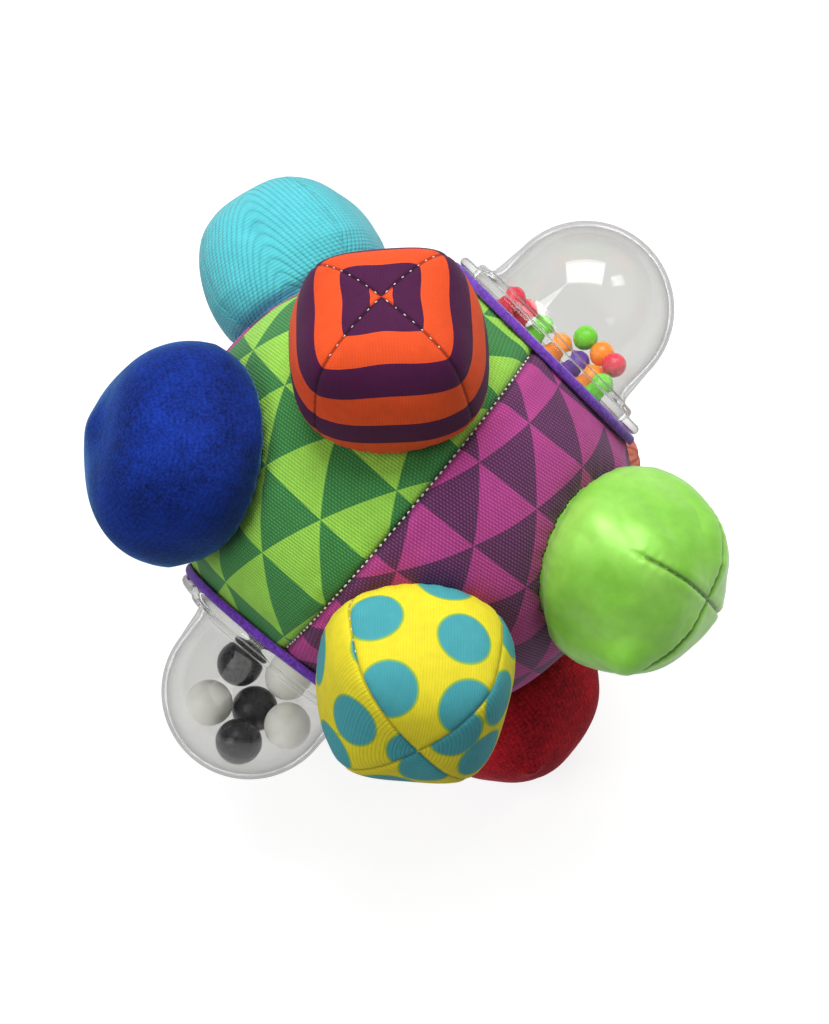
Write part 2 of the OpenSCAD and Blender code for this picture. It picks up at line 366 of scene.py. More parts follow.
# Canvas printed with a plain two-tone triangle net
def canvasLook(shader, place, light, dark, pale, spacing):
    cloth = clothMap(place)
    xy = split(cloth)
    step = spacing * sqrt(3) / 2
    first = calc("DIVIDE", xy[1], step)
    lean = calc("MULTIPLY", xy[0], sqrt(3) / 2)
    second = calc("DIVIDE", calc("MULTIPLY_ADD", xy[1], -0.5, lean), step)
    both = calc("ADD", calc("FRACT", first), calc("FRACT", second))
    weave = useGroup(twill, Cloth=cloth, Pitch=canvas["pitch"], Slant=radians(canvas["slant"]))
    fleck = calc("MULTIPLY", weave["Fleck"], canvas["fleck"])
    colour = tinted(blendColour(spread(both, 0.99, 1.01), light, dark), weave["Tint"])
    colour = tinted(blendColour(fleck, colour, pale), wornAndSeamShaded(place, 1.3, 0.5))
    setInputs(shader, Base_Color=colour, Roughness=canvas["roughness"])
    setInputs(shader, Sheen_Weight=0.12, Sheen_Roughness=0.5)
    emboss(shader, weave["Height"], canvas["depth"], 0.8)


jersey = {"rib": 0.62, "rows": 0.5, "coarse": 0.85, "roughness": 0.7, "depth": 0.06}


# Fine knit that turns to coarser ribs where the cloth shows its other side
def jerseyFinish(shader, place, colour, shade):
    knit = knitted(place, jersey["rib"], jersey["rows"], 0.1)
    ribbed = knitted(place, jersey["coarse"], jersey["rows"], 0.22)
    side = markMap(place, "ribbed")
    tint = blendColour(side, knit["Tint"], ribbed["Tint"])
    colour = tinted(colour, tint, wornAndSeamShaded(place, 0.5, shade))
    setInputs(shader, Base_Color=colour, Roughness=jersey["roughness"])
    setInputs(shader, Specular_IOR_Level=0.15, Sheen_Weight=0.04)
    coarse = calc("MULTIPLY", calc("MULTIPLY", ribbed["Height"], side), 1.6)
    emboss(shader, calc("ADD", knit["Height"], coarse), jersey["depth"], 0.7)


stripes = {
    "edges": [7.8, 14.2, 21.0, 28.6, 34.9],  # from the tip down each panel
    "length": 50.0,    # of the striped cloth from the tip down
    "tipLength": 2.2,
    "apart": 1000.0,   # from one panel to the next on the cloth map
    "plum": paint(80, 28, 70),
    "orange": paint(244, 88, 42),
}


def stripedLook(shader, place):
    xy = split(clothMap(place))
    ramp = place.id_data.nodes.new("ShaderNodeValToRGB")
    feed(ramp, {0: calc("DIVIDE", xy[1], stripes["length"])})
    stops = ramp.color_ramp.elements
    ramp.color_ramp.interpolation = "CONSTANT"
    stops[0].color = stripes["plum"]
    for i, edge in enumerate(stripes["edges"]):
        share = edge / stripes["length"]
        stop = stops[1] if i == 0 else stops.new(share)
        stop.position = share
        stop.color = stripes["plum"] if i % 2 else stripes["orange"]
    # two opposite panels start with a scrap of orange
    panel = calc("DIVIDE", calc("ADD", xy[0], stripes["apart"] / 2), stripes["apart"])
    odd = calc("MODULO", calc("FLOOR", panel), 2.0)
    atTip = calc("LESS_THAN", xy[1], stripes["tipLength"])
    scrap = calc("MULTIPLY", atTip, calc("SUBTRACT", 1.0, odd))
    jerseyFinish(shader, place, blendColour(scrap, ramp.outputs[0], stripes["orange"]), 0.6)


# Where the printed dots lie: for each panel's middle, mm down from the tip and azimuth
dots = {
    "radius": 5.8,
    "yellow": paint(248, 232, 52),
    "teal": paint(78, 172, 182),
    "rim": paint(150, 196, 70),   # where the two printing inks overlap
    "knitTurn": [90, 0, 90, 90],  # how the knit lies on each panel
    "places": {
        0: [(5, 29), (16, 345), (21, 12), (31, 350), (37, 28)],
        90: [(20, 118), (8, 126), (35, 129), (15, 76), (31, 88), (40, 55)],
        180: [(31, 210), (27, 161), (15, 210), (13, 143), (42, 169)],
        270: [(15, 260), (1, 258), (34, 264), (25, 212), (20, 300), (36, 305)],
    },
}


def dottedLook(shader, place):
    reach = calc("SUBTRACT", markMap(place, "dot"), dots["radius"])
    colour = blendColour(spread(reach, -0.1, 0.1, 1.0, 0.0), dots["yellow"], dots["teal"])
    overlap = spread(calc("ABSOLUTE", reach), 0.12, 0.36, 0.8, 0.0)
    jerseyFinish(shader, place, blendColour(overlap, colour, dots["rim"]), 0.4)


# groove is how dark the painted shade in the ribs' grooves is
def ribLook(shader, place, colour, pitch, depth, groove):
    knit = knitted(place, pitch, 0.8, groove)
    fuzz = useGroup(pile, Place=place, Nap=0.08)
    colour = tinted(colour, knit["Tint"], wornAndSeamShaded(place, 1.0, 0.1))
    setInputs(shader, Base_Color=colour, Roughness=0.85, Sheen_Weight=0.3, Sheen_Roughness=0.45)
    emboss(shader, calc("MULTIPLY_ADD", fuzz["Height"], 0.2, knit["Height"]), depth, 0.8)


# Pile cloth; "wale" is how much the knit rows under the pile show, as painted shade in their grooves
def velourLook(shader, place, colour, sheenTint, nap, sheen, wale):
    hair = useGroup(pile, Place=place, Nap=nap)
    rows = knitted(place, 1.2, 0.9, wale)
    colour = tinted(colour, hair["Tint"], rows["Tint"], wornAndSeamShaded(place, 1.0, 0.1))
    setInputs(shader, Base_Color=colour, Roughness=0.9, Specular_IOR_Level=0.25)
    setInputs(shader, Sheen_Weight=sheen, Sheen_Roughness=0.3, Sheen_Tint=sheenTint)
    emboss(shader, hair["Height"], 0.16, 0.9)


# deep and bright: the satin's own colour, and that colour lighter with painted sheen
satin = {"deep": paint(144, 222, 74), "bright": paint(166, 236, 100), "folds": 0.5}


def satinLook(shader, place):
    sheenBlotch = noise(place, 75.0)
    # painted sheen: the colour lightens in the same blotches where the satin is glossier
    colour = blendColour(spread(sheenBlotch, 0.35, 0.65), satin["deep"], satin["bright"])
    colour = tinted(colour, knitted(place, 0.3, 0.3, 0.03)["Tint"], wornAndSeamShaded(place, 0.7, 0.6))
    setInputs(shader, Base_Color=colour, Roughness=spread(sheenBlotch, 0.3, 0.7, 0.42, 0.34))
    lay = addNode(place.id_data, "ShaderNodeTangent", {}, direction_type="UV_MAP", uv_map="cloth")[0]
    setInputs(shader, Metallic=0.12, Anisotropic=0.6, Tangent=lay, Sheen_Weight=0.3, Sheen_Roughness=0.3)
    emboss(shader, noise(place, 60.0, 2.0), satin["folds"], 0.5)


# Matted fibres, for the collars' felt and the filling
def fibreLook(shader, place, colour, nap, depth, strength, roughness, sheen):
    hair = useGroup(pile, Place=place, Nap=nap)
    setInputs(shader, Base_Color=tinted(colour, hair["Tint"]), Roughness=roughness, Sheen_Weight=sheen)
    emboss(shader, hair["Height"], depth, strength)


def plasticLook(shader, place, colour, roughness, mottle):
    cloud = mottled(place, 240.0, 1 - mottle, 1 + mottle / 2)
    gloss = mottled(place, 900.0, roughness, roughness + 0.12)
    setInputs(shader, Base_Color=tinted(colour, cloud), Roughness=gloss)
    emboss(shader, noise(place, 1500.0, 2.0), 0.02, 0.4)


clear = {
    "tint": (0.78, 0.78, 0.765, 1),
    "bending": 1.04,   # below real plastic, so that the beads aren't distorted
    "coat": 0.7,
    # the colour and share of the painted shade where the wall is seen edge on
    "edge": (0.2, 0.2, 0.205, 1),
    "paintedEdgeShade": 0.8,
    "shadow": (0.99, 0.99, 0.99, 1),
}


def clearLook(shader, place):
    tree = place.id_data
    scuff = spread(noise(place, 160.0, 5.0, 0.65), 0.45, 0.75, 0.01, 0.05)
    setInputs(shader, Base_Color=clear["tint"], Roughness=scuff, IOR=clear["bending"])
    setInputs(shader, Transmission_Weight=1.0, Coat_Weight=clear["coat"], Coat_Roughness=0.03)
    # painted shade: the wall greys where it is seen edge on
    facing = addNode(tree, "ShaderNodeLayerWeight", {"Blend": 0.5})["Facing"]
    edgeShadeMask = calc("MULTIPLY", calc("POWER", facing, 4.0), clear["paintedEdgeShade"])
    grey = addNode(tree, "ShaderNodeBsdfDiffuse", {"Color": clear["edge"]})[0]
    wall = join("MixShader", {0: edgeShadeMask, 1: shader.outputs[0], 2: grey})[0]
    passing = addNode(tree, "ShaderNodeBsdfTransparent", {"Color": clear["shadow"]})[0]
    light = addNode(tree, "ShaderNodeLightPath", {})["Is Shadow Ray"]
    both = join("MixShader", {0: light, 1: wall, 2: passing})[0]
    setInputs(tree.nodes["Material Output"], Surface=both)


def threadLook(shader, place, colour):
    strand = noise(place, 2400.0, 2.0)
    colour = tinted(colour, spread(strand, 0.3, 0.7, 0.8, 1.1))
    setInputs(shader, Base_Color=colour, Roughness=0.7, Sheen_Weight=0.2)
    emboss(shader, strand, 0.08, 0.7)


# Each slot's material name, look and values
finish = {
    "stuffing": ("fibreFill", fibreLook, paint(238, 236, 228), 0.2, 1.2, 1.0, 0.95, 0.0),
    "magenta_canvas": (
        "magentaCanvas", canvasLook, paint(100, 42, 94), paint(194, 64, 150), paint(226, 160, 214), 16.4
    ),
    "green_canvas": (
        "greenCanvas", canvasLook, paint(164, 230, 82), paint(56, 140, 70), paint(190, 228, 150), 17.5
    ),
    "orange_corduroy": ("orangeCorduroy", ribLook, paint(246, 104, 52), 2.2, 0.5, 0.35),
    "cyan_rib_knit": ("cyanRibKnit", ribLook, paint(90, 210, 222), 1.2, 0.24, 0.2),
    "striped_jersey": ("stripedJersey", stripedLook),
    "green_satin": ("greenSatin", satinLook),
    "plum_velour": ("plumVelour", velourLook, paint(110, 48, 112), (0.8, 0.5, 0.8, 1), 0.3, 0.5, 0.1),
    "blue_velour": ("blueVelour", velourLook, paint(15, 46, 138), (0.2, 0.5, 1.0, 1), 0.5, 1.0, 0.22),
    "dotted_knit": ("dottedJersey", dottedLook),
    "red_velour": ("redVelour", velourLook, paint(200, 30, 46), (1.0, 0.2, 0.25, 1), 0.6, 0.9, 0.3),
    "clear_plastic": ("clearPlastic", clearLook),
    "purple_felt": ("purpleFelt", fibreLook, paint(112, 58, 184), 0.15, 0.3, 0.8, 0.9, 0.3),
    "white_plastic": ("palePlastic", plasticLook, paint(214, 214, 208), 0.4, 0.06),
    "red_bead": ("redBead", plasticLook, paint(232, 60, 82), 0.2, 0.02),
    "green_bead": ("greenBead", plasticLook, paint(118, 214, 60), 0.2, 0.02),
    "orange_bead": ("orangeBead", plasticLook, paint(255, 150, 52), 0.2, 0.02),
    "purple_bead": ("purpleBead", plasticLook, paint(100, 62, 160), 0.2, 0.02),
    "black_bead": ("blackBead", plasticLook, paint(42, 41, 47), 0.24, 0.03),
    "white_bead": ("whiteBead", plasticLook, paint(250, 249, 242), 0.24, 0.02),
}
finish = {slotName: newMaterial(*values) for slotName, values in finish.items()}
whiteThread = newMaterial("whiteThread", threadLook, paint(236, 232, 226))
darkThread = newMaterial("darkThread", threadLook, paint(58, 40, 62))
greenThread = newMaterial("greenThread", threadLook, paint(132, 186, 96))
print("materials made,", len(finish), "finishes and 3 threads")

# Bumps: "at" is latitude, longitude and turn, "seamEnd" how far down from the tip the seams show, "groove"
# their depth, "fold" the depth of loose folds, "stands" whether the floor flattens it, and "pulls" single
# corners and dents: azimuth, mm down from the tip, height and width
seamTurns = (45, 135, 225, 315)
usual = {
    "radius": 20.4, "tip": 78, "groove": 0.22, "seamEnd": 60, "fold": 0.1,
    "stands": False, "pulls": (),
}
bumps = {
    "orange": {"at": (23, -8, 0), "slot": "orange_corduroy", "stands": True, "groove": 0.2},
    "cyan": {"at": (21.5, 90, 0), "slot": "cyan_rib_knit", "groove": 0.1, "pulls": [(88, 25.7, -0.9, 2.6)]},
    "striped": {
        "at": (23, 174, 49), "slot": "striped_jersey",
        "pulls": [(a, 18, 1.2, 6) for a in seamTurns],
    },
    "satin": {
        "at": (19, 256, 41), "slot": "green_satin", "groove": 0.6, "seamEnd": 20, "fold": 0.5,
        "pulls": [
            (304, 22, 2.8, 4.6), (168, 22, -2.4, 11), (280, 33, -2.2, 7),
            (250, 26, -0.8, 5), (215, 33, 0.7, 6),
        ],
    },
    "plum": {"at": (-23, 45, 29), "slot": "plum_velour", "stands": True, "groove": 0.15},
    "blue": {
        "at": (-23.5, 144, 53), "radius": 22.2, "tip": 75, "slot": "blue_velour", "groove": 0,
        "pulls": [(218, 8, 1.1, 4.5)],
    },
    "dotted": {"at": (-27, 228, 38), "slot": "dotted_knit", "pulls": [(a, 18, 0.8, 6) for a in seamTurns]},
    "red": {
        "at": (-23, 315, 61), "slot": "red_velour", "stands": True, "groove": 0.05,
        "pulls": [(223, 22.5, 1.3, 2.2)],
    },
}
bumps = {name: {**usual, **bump} for name, bump in bumps.items()}
bumpShape = {
    "rows": 72,
    "innerRows": 22,
    "columns": 40,        # for each of the four panels
    "crowding": 0.6,      # how far the columns draw towards the seams
    "wideAt": 55.0,
    "neckAt": 47.5,
    "crown": (0.72, 0.95),    # powers that make it fuller than an ellipse
    "shoulder": [(0, 55), (-0.2, 51.5), (-1.1, 48.9), (-3.5, 47.6)],  # from the widest radius, and height
    "neck": [(16.3, 46.6), (16.2, 45.6)],
    "squareness": 2 / 20.4,
    "cloth": 1.5,
    "swell": 0.9,         # the most that the cloth swells
    "fill": 0.85,
}


# Radius and height from the tip down to the sewn-in neck
def bumpProfile(bump, rows):
    rise = np.radians(np.linspace(90, 0, 120))
    wide, start = bump["radius"], bumpShape["wideAt"]
    crownR = wide * np.cos(rise).clip(0) ** bumpShape["crown"][0]
    crownZ = start + (bump["tip"] - start) * np.sin(rise) ** bumpShape["crown"][1]
    foot = roundCorners([(wide + out, z) for out, z in bumpShape["shoulder"]] + bumpShape["neck"])
    path = np.vstack([np.stack([crownR, crownZ], 1), foot[1:]])
    path[0, 0] = 0
    run = np.concatenate([[0], np.cumsum(np.hypot(*np.diff(path, axis=0).T))])
    share = np.linspace(0.012, 1, rows)
    want = run[-1] * (share + 0.06 * np.sin(pi * share) * (1 - share))
    return np.interp(want, run, path[:, 0]), np.interp(want, run, path[:, 1]), want


def bumpAngles(columns):
    t = np.arange(columns) / columns
    inPanel = t - bumpShape["crowding"] * np.sin(2 * pi * t) / (2 * pi)
    return np.concatenate([45 + 90 * (k + inPanel) for k in range(4)])


def bumpGrid(radius, height, angles):
    square = np.clip((height - bumpShape["neckAt"]) / (bumpShape["wideAt"] - bumpShape["neckAt"]), 0, 1)
    turn = np.radians(angles)
    r = radius[:, None] * (1 + (square * bumpShape["squareness"])[:, None] * (1 - np.cos(4 * turn)) / 2)
    return ringPoints(r, turn, height[:, None]), r


def gridNormals(grid):
    down = np.gradient(grid, axis=0)
    across = (np.roll(grid, -1, 1) - np.roll(grid, 1, 1)) / 2
    return unit(np.cross(down, across))


# Point of a bump's grid nearest to a place given by mm down from the tip and azimuth
def gridPoint(grid, run, angles, down, azimuth):
    column = np.abs((angles - azimuth + 180) % 360 - 180).argmin()
    return grid[np.abs(run - down).argmin(), column]


# Faces of a tube of points that is closed by a tip at each end; the tips come after the others
def stripFaces(rows, columns):
    i, j = np.indices((rows - 1, columns))
    k = (j + 1) % columns
    faces = quadFaces(columns, (i, j), (i + 1, j), (i + 1, k), (i, k)).tolist()
    tip, last = rows * columns, (rows - 1) * columns
    faces += [[tip, j, (j + 1) % columns] for j in range(columns)]
    faces += [[tip + 1, last + (j + 1) % columns, last + j] for j in range(columns)]
    return faces


# "slack" is the cloth's size before it is inflated
cushion = {
    "rows": 18, "columns": 9, "pinnedRows": 3, "slack": 0.985,
    "apart": 80.0, "scale": 10.0, "pressure": 4.0, "frames": 20,
}


# Inflates a coarse copy of each bump as cloth, held at its neck, and gives how far each point moved
def inflateBumps():
    rows, columns = cushion["rows"], 4 * cushion["columns"]
    angles = bumpAngles(cushion["columns"])
    points, faces, pins, rest = [], [], [], {}
    tip = rows * columns
    for number, (name, bump) in enumerate(bumps.items()):
        radius, height, _ = bumpProfile(bump, rows)
        rest[name], _ = bumpGrid(radius * cushion["slack"], height, angles)
        start = len(points)
        shift = np.array([cushion["apart"] * number, 0, 0])
        points += (rest[name].reshape(-1, 3) + shift).tolist()
        points += [[shift[0], 0, bump["tip"]], [shift[0], 0, height[-1]]]
        faces += [[start + v for v in face] for face in stripFaces(rows, columns)]
        pins += [start + v for v in range(tip - cushion["pinnedRows"] * columns, tip)] + [start + tip + 1]
    mesh = bpy.data.meshes.new("bumpCloth")
    mesh.from_pydata((np.array(points) * mm * cushion["scale"]).tolist(), [], faces)
    piece = addItem("bumpCloth", mesh)
    piece.vertex_groups.new(name="neck").add(pins, 1.0, "REPLACE")
    cloth = piece.modifiers.new("cloth", "CLOTH")
    cloth.settings.quality = 5
    cloth.settings.vertex_group_mass = "neck"
    cloth.settings.use_pressure = True
    cloth.settings.uniform_pressure_force = cushion["pressure"]
    cloth.settings.effector_weights.gravity = 0
    cloth.collision_settings.use_collision = False
    cloth.point_cache.frame_end = cushion["frames"]
    for step in range(1, cushion["frames"] + 1):
        scene.frame_set(step)
    graph = bpy.context.evaluated_depsgraph_get()
    inflated = piece.evaluated_get(graph).to_mesh()
    moved = np.zeros(len(inflated.vertices) * 3)
    inflated.vertices.foreach_get("co", moved)
    moved = moved.reshape(len(bumps), -1, 3) / mm / cushion["scale"]
    swell = {}
    for number, name in enumerate(bumps):
        part = moved[number, :tip] - [cushion["apart"] * number, 0, 0]
        step = part.reshape(rows, columns, 3) - rest[name]
        swell[name] = step * np.minimum(1, bumpShape["swell"] / np.maximum(lengths(step), 1e-9))
    bpy.data.objects.remove(piece)
    scene.frame_set(1)
    return swell


# Spreads the values of a coarse grid, whose columns run round, over a finer one
def resample(field, rows, columns):
    coarse = field.shape
    r = np.clip(np.linspace(0, 1, rows) * (coarse[0] - 1), 0, coarse[0] - 1.001)[:, None, None]
    c = (np.arange(columns) / columns * coarse[1])[None, :, None]
    for axis, at, share in ((1, c, c % 1), (0, r, smooth(0, 1, r % 1))):
        low = np.floor(at).astype(int).ravel()
        ahead = field.take(low + 1, axis, mode="wrap")
        field = field.take(low, axis) * (1 - share) + ahead * share
    return field


# Cloth map of one panel, from mm across it, degrees from its middle and mm down from the tip
def panelMap(name, across, turn, down, panel):
    if name == "striped":
        lean = np.cos(np.radians(turn) * (0.92 - 0.24 * smooth(7, 22, down)))
        fade = smooth(16, 36, down)
        return np.stack([across + stripes["apart"] * panel, down * (lean + (1 - lean) * fade)], -1)
    if name == "dotted":
        return turnCloth(across, down, dots["knitTurn"][panel])
    if name == "cyan" and panel == 0:
        return np.stack([np.hypot(across, 3) - 0.35 * (down - 26), down], -1)  # ribs nest over the dimple
    if name == "blue":
        return np.stack([down, across], -1)
    return np.stack([across, down], -1)


# How far each point of a bump is from the middle of the nearest dot printed on its panel
def dotReach(grid, run, angles):
    panel = np.floor(((angles - 45) % 360) / 90).astype(int)
    reach = np.full(grid.shape[:2], 99.0)
    for mid, places in dots["places"].items():
        columns = panel == (mid // 90 - 1) % 4
        for place in places:
            away = np.linalg.norm(grid[:, columns] - gridPoint(grid, run, angles, *place), axis=-1)
            reach[:, columns] = np.minimum(reach[:, columns], away)
    return reach


crease = {
    "width": 0.5,        # of a seam's groove
    "ridge": 0.25,       # beside the groove, as a share of its depth
    "pucker": 0.2,       # along the groove, also a share
    "puckerStep": 2.3,
    "lump": 0.3,         # unevenness of the filling
    "gather": 0.09,      # where the cloth is drawn in to its neck
    "gathers": 29,
}


# Height of a bump's cloth over its plain form
def bumpLift(bump, number, base, grid, run, angles, seam, down):
    toNeck = run[-1] - down
    free = smooth(3, 8, toNeck)
    sewn = bump["groove"] * smooth(bump["seamEnd"] + 4, bump["seamEnd"], down)
    lift = -sewn * bell(seam, crease["width"]) * free
    lift += crease["ridge"] * sewn * bell(seam - 1.7, 1.0) * free
    along = down * 2 * pi / crease["puckerStep"] + 5 * softNoise(grid, 20, number)
    lift += crease["pucker"] * sewn * np.sin(along) * bell(seam, 1.8)
    lift += crease["lump"] * softNoise(grid, 26, 10 + number) * free
    lift += bump["fold"] * np.abs(softNoise(grid, 15, 20 + number)) * free * smooth(2, 10, down)
    for azimuth, far, height, width in bump["pulls"]:
        away = np.linalg.norm(base - gridPoint(base, run, angles, far, azimuth), axis=-1)
        lift += height * bell(away, width)
    turn = np.radians(angles)[None, :]
    gather = np.cos(turn * crease["gathers"] + 2.5 * softNoise(grid, 18, 30 + number))
    return lift + crease["gather"] * gather * smooth(10, 5, toNeck) * smooth(-1, 3, toNeck)


# Cloth map for each face corner, so that each panel carries its own print
def bumpMap(name, angles, wide, run):
    rows, columns = wide.shape
    uvs = np.zeros((rows - 1, columns, 4, 2))
    for panel in range(4):
        js = np.arange(panel * bumpShape["columns"], (panel + 1) * bumpShape["columns"])
        turn = (np.append(angles[js], 45 + 90 * (panel + 1)) - 90 * (panel + 1))[None, :]
        across = np.radians(turn) * wide[:, np.append(js, (js[-1] + 1) % columns)]
        flat = panelMap(name, across, turn, run[:, None] + 0 * across, panel)
        corners = (flat[:-1, :-1], flat[1:, :-1], flat[1:, 1:], flat[:-1, 1:])
        uvs[:, js] = np.stack(corners, 2)
    caps = np.concatenate([uvs[0][:, [0, 0, 3]], uvs[-1][:, [1, 2, 1]]])
    return np.vstack([uvs.reshape(-1, 2), caps.reshape(-1, 2)])


def makeBump(name, bump, swell):
    columns = 4 * bumpShape["columns"]
    angles = bumpAngles(bumpShape["columns"])
    radius, height, run = bumpProfile(bump, bumpShape["rows"])
    base, wide = bumpGrid(radius, height, angles)
    grid = base
    if swell is not None:
        grid = base + resample(swell, len(run), columns)
    seam = np.radians(np.abs(angles % 90 - 45))[None, :] * wide
    down = run[:, None] + 0 * seam
    lift = bumpLift(bump, list(bumps).index(name), base, grid, run, angles, seam, down)
    grid = grid + gridNormals(grid) * lift[..., None]
    # the cloth turns in at the neck and lines the bump
    inset = base - gridNormals(base) * bumpShape["cloth"]
    pick = np.linspace(bumpShape["rows"] - 1, 0, bumpShape["innerRows"]).astype(int)
    both = np.concatenate([grid, inset[pick]])
    tips = np.array([[0, 0, grid[0, :, 2].mean() + 0.02], [0, 0, inset[0, :, 2].mean() - 0.02]])
    turn = placeTurn(bump)
    points = np.vstack([both.reshape(-1, 3), tips]) @ turn.T
    if bump["stands"]:
        points[:, 2] = np.maximum(points[:, 2], ball["floor"])
    faces = stripFaces(len(both), columns)
    uvs = bumpMap(name, angles, np.concatenate([wide, wide[pick]]), np.concatenate([run, run[pick]]))
    marks = {"seam": seam + 9 * smooth(bump["seamEnd"], bump["seamEnd"] + 4, down)}
    if name == "dotted":
        marks["dot"] = dotReach(base, run, angles)
        marks["ribbed"] = (np.abs(angles - 180) > 46)[None, :] * smooth(30, 20, down)
    for label, mark in marks.items():
        marks[label] = np.append(np.vstack([mark, mark[pick]]).ravel(), [mark[0].mean()] * 2)
    piece = meshPiece(name + "_bump", points, faces, bump["slot"], uvs, marks)
    install(piece, [name + "_bump_cover"])
    return {"surface": grid @ turn.T, "normal": gridNormals(grid) @ turn.T, "run": run}


filling = {
    "rows": 26, "columns": 12, "gap": 2.4, "lump": 0.3,
    "base": 48.8, "middle": 48.6, "overFloor": 1.8, "fill": 0.7,
}


# Fibre filling inside a bump, a little lumpy and clear of its cover
def makeBumpStuffing(name, bump):
    angles = bumpAngles(filling["columns"])
    radius, height, _ = bumpProfile(bump, filling["rows"])
    grid, _ = bumpGrid(radius, height, angles)
    lumps = filling["lump"] * softNoise(grid, 9, 50 + list(bumps).index(name))
    grid = grid - gridNormals(grid) * (filling["gap"] + lumps)[..., None]
    grid = grid * np.maximum(1, filling["base"] / lengths(grid))
    tips = np.array([[0, 0, grid[0, :, 2].mean()], [0, 0, filling["middle"]]])
    points = np.vstack([grid.reshape(-1, 3), tips]) @ placeTurn(bump).T
    if bump["stands"]:
        points[:, 2] = np.maximum(points[:, 2], ball["floor"] + filling["overFloor"])
    faces = stripFaces(*grid.shape[:2])
    piece = meshPiece(name + "_filling", points, faces, "stuffing")
    install(piece, [name + "_bump_stuffing"])


swells = inflateBumps()
print("bump cloth inflated" if swells else "bump cloth left uninflated")
sewnBumps = {}
for name, bump in bumps.items():
    sewnBumps[name] = makeBump(name, bump, swells.get(name))
    makeBumpStuffing(name, bump)
print("bumps sewn,", len(sewnBumps))

rattles = {
    "upper": {"at": (85, -79, 0), "body": "upper_beads"},
    "lower": {"at": (-87, -126, 0), "body": "lower_beads"},
}
rattle = {
    "rimAt": 44.2,
    "domeAt": 56.5,
    "dome": 19.6,
    "foot": 20.3,
    "wall": 1.1,
    "lip": 27.3,
    "lipHigh": 2.2,
    "step": 23.4,
    "stepHigh": 1.5,
    "segments": 128,
}
collar = {"hole": 25.2, "radius": 28.1, "underside": 50.35, "segments": 160, "wobble": 0.04}

# Canvas panels: longitudes of both seams, the bumps sewn in, finish, and the print's place and turn
panels = {
    "magenta_panel_back": {
        "seams": (18.5, 117), "bumps": ("plum", "cyan"), "slot": "magenta_canvas", "lay": (4, 6, 0)
    },
    "green_panel_front": {
        "seams": (117, 201), "bumps": ("blue", "striped"), "slot": "green_canvas", "lay": (6.2, 17.9, -2)
    },
    "magenta_panel_front": {
        "seams": (201, 285.5), "bumps": ("dotted", "satin"), "slot": "magenta_canvas", "lay": (11.0, 3.0, 0)
    },
    "green_panel_back": {
        "seams": (285.5, 378.5), "bumps": ("red", "orange"), "slot": "green_canvas", "lay": (2, 9, 0)
    },
}
panelShape = {"columns": 96, "rows": 150, "reach": 66, "seamGap": 0.1}


def ballWay(lat, lon):
    lat = np.radians(lat)
    return ringPoints(np.cos(lat), np.radians(lon), np.sin(lat)) @ ballTurn.T


def arcFrom(way, axis):
    return np.arccos(np.clip(way @ axis, -1, 1)) * ballR


neckArc = ballR * asin(ball["neck"] / ballR)
collarArc = ballR * asin(collar["hole"] / ballR)

drape = {
    "groove": (0.6, 0.9),      # depth and width at a seam
    "ridge": (0.3, 3.2, 1.8),  # height beside a seam, how far from it, and width
    "ripple": 0.12,
    "neckPull": 1.0,           # how far the canvas dips at a bump's neck
    "gather": 0.22,
    "gathers": 24,
    "rattlePull": 0.25,
    "bulge": 0.5,
    "lump": 0.16,
    "fullest": 0.9,
}


# Height of the canvas over the ball: pulled in at seams, necks and collars, fuller between them
def canvasLift(way, toSeam, seed):
    spot = way * ballR
    depth, width = drape["groove"]
    lift = -depth * bell(toSeam, width)
    height, beside, width = drape["ridge"]
    lift += height * bell(toSeam - beside, width)
    lift += drape["ripple"] * np.sin(way[..., 2] * 60) * bell(toSeam, 3)
    free = smooth(0, 10, toSeam)
    uneven = softNoise(spot, 20, seed)
    for bump in bumps.values():
        gap = np.maximum(arcFrom(way, axisOf(bump)) - neckArc, 0)
        lift -= drape["neckPull"] * np.exp(-gap / 2.2)
        local = way @ placeTurn(bump)
        turn = np.arctan2(local[..., 1], local[..., 0])
        lift += drape["gather"] * np.cos(turn * drape["gathers"] + uneven) * np.exp(-gap / 2.5)
        free = free * smooth(0, 7, gap)
    for spec in rattles.values():
        gap = np.maximum(arcFrom(way, axisOf(spec)) - collarArc - 5, 0)
        lift -= drape["rattlePull"] * np.exp(-gap / 2)
        free = free * smooth(0, 6, gap)
    full = free * drape["bulge"] + drape["lump"] * free * softNoise(spot, 16, seed)
    return np.minimum(lift + full, drape["fullest"])


